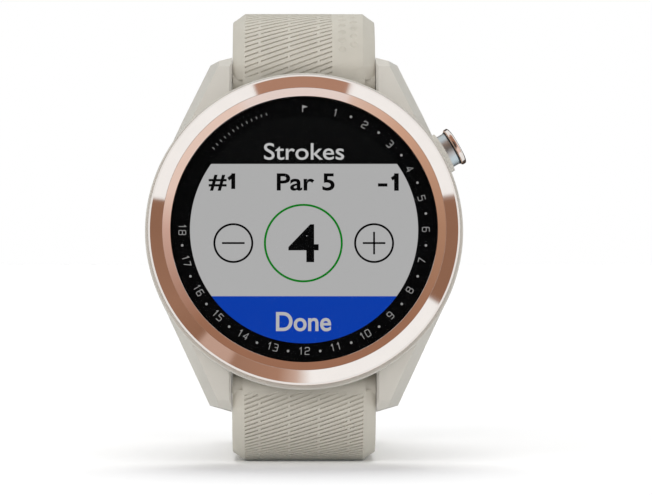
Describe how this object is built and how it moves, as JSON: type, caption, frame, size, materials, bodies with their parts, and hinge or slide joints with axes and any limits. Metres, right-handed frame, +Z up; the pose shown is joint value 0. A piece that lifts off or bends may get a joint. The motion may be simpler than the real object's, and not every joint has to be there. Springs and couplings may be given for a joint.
{
  "type": "golf gps watch",
  "caption": "Round golf GPS watch standing on its unfastened ribbed strap: metal bezel, lugged polymer case, side push button, display, buckle and keepers.",
  "frame": {"origin": "centre of the flat stretch of the lower strap that the watch stands on", "axes": "+X to the right as the dial is read, +Y back from the dial, +Z up; the dial faces -Y and leans back 5.5 degrees"},
  "size_m": [0.0444, 0.0811, 0.0627],
  "materials": {
    "case_polymer": "fine matt moulded grain",
    "bezel_metal": "satin turned, rose gold anodised",
    "lens_glass": "polished, printed black border underneath",
    "display": "memory-in-pixel display with a picture on it",
    "touch_film": "clear film",
    "light_guide": "white diffuser",
    "carrier_metal": "stamped",
    "flex_film": "polyimide film with copper tracks",
    "circuit_board": "solder mask with gold pads",
    "chip": "moulded package",
    "shield_can": "tinned",
    "connector": "moulded with tin contacts",
    "ceramic_cap": "ceramic with tin ends",
    "contact_gold": "gold flashed",
    "battery_foil": "embossed pouch",
    "foam": "closed-cell foam",
    "seal": "moulded",
    "steel": "turned",
    "spring_steel": "drawn wire",
    "cover_polymer": "fine grain",
    "contact_holder": "moulded",
    "button_gold": "satin, rose gold anodised",
    "button_ring_rubber": "moulded",
    "strap_silicone": "ribbed silicone, soft matt",
    "buckle_gold": "rose gold plated"
  },
  "bodies": {
    "watch": {"case_body": "case_polymer", "bezel": "bezel_metal", "lens": "lens_glass", "lens_gasket": "seal", "touch_panel": "touch_film", "display_panel": "display", "backlight": "light_guide", "display_frame": "carrier_metal", "display_flex": "flex_film", "main_board": "circuit_board", "processor_shield": "shield_can", "memory_chip": "chip", "satellite_receiver": "chip", "radio_module": "shield_can", "motion_sensor": "chip", "power_chip": "chip", "display_connector": "connector", "battery_connector": "connector", "charging_connector": "connector", "board_capacitors": "ceramic_cap", "antenna_contacts": "contact_gold", "battery": "battery_foil", "battery_pad": "foam", "battery_lead": "flex_film", "vibration_motor": "steel", "rear_cover": "cover_polymer", "rear_cover_gasket": "seal", "rear_cover_screws": "steel", "board_screws": "steel", "charging_contact_holder": "contact_holder", "charging_contacts": "contact_gold", "button_spring": "spring_steel", "button_switch": "connector", "switch_bracket": "carrier_metal"},
    "button": {"button_cap": "button_gold", "button_ring": "button_ring_rubber", "button_stem": "steel", "button_seals": "seal", "button_retaining_clip": "spring_steel"},
    "upper_band": {"upper_strap": "strap_silicone", "upper_spring_bar": "steel", "upper_bar_spring": "spring_steel", "fixed_keeper": "strap_silicone"},
    "upper_pin": {"upper_release_pin": "steel"},
    "lower_band": {"lower_strap": "strap_silicone", "lower_spring_bar": "steel", "lower_bar_spring": "spring_steel"},
    "lower_pin": {"lower_release_pin": "steel"},
    "keeper": {"sliding_keeper": "strap_silicone"},
    "buckle": {"buckle_frame": "buckle_gold", "buckle_bar": "steel"},
    "tongue": {"buckle_tongue": "buckle_gold"}
  },
  "joints": [
    {"name": "button_press", "type": "slide", "parent": "watch", "child": "button", "axis": [-0.866, -0.0479, -0.4977], "range_m": [0, 0.0005], "stiffness_N_per_m": 2000, "springref_m": -0.0005, "deforming": ["button_spring"]},
    {"name": "upper_strap_swing", "type": "hinge", "parent": "watch", "child": "upper_band", "pos_m": [0, -0.01852, 0.0531], "axis": [1, 0, 0], "range_deg": [0, 45]},
    {"name": "lower_strap_swing", "type": "hinge", "parent": "watch", "child": "lower_band", "pos_m": [0, -0.02266, 0.01009], "axis": [-1, 0, 0], "range_deg": [0, 45]},
    {"name": "upper_release", "type": "slide", "parent": "upper_band", "child": "upper_pin", "axis": [-1, 0, 0], "range_m": [0, 0.0013], "stiffness_N_per_m": 500, "springref_m": -0.001, "deforming": ["upper_bar_spring"]},
    {"name": "lower_release", "type": "slide", "parent": "lower_band", "child": "lower_pin", "axis": [-1, 0, 0], "range_m": [0, 0.0013], "stiffness_N_per_m": 500, "springref_m": -0.001, "deforming": ["lower_bar_spring"]},
    {"name": "keeper_slide", "type": "hinge", "parent": "upper_band", "child": "keeper", "pos_m": [0, 0.01605, 0.03135], "axis": [1, 0, 0], "range_deg": [0, 36]},
    {"name": "buckle_swing", "type": "hinge", "parent": "upper_band", "child": "buckle", "pos_m": [0, 0.04419, 0.04159], "axis": [1, 0, 0], "range_deg": [-45, 45]},
    {"name": "tongue_swing", "type": "hinge", "parent": "buckle", "child": "tongue", "pos_m": [0, 0.04419, 0.04159], "axis": [1, 0, 0], "range_deg": [0, 70]}
  ]
}
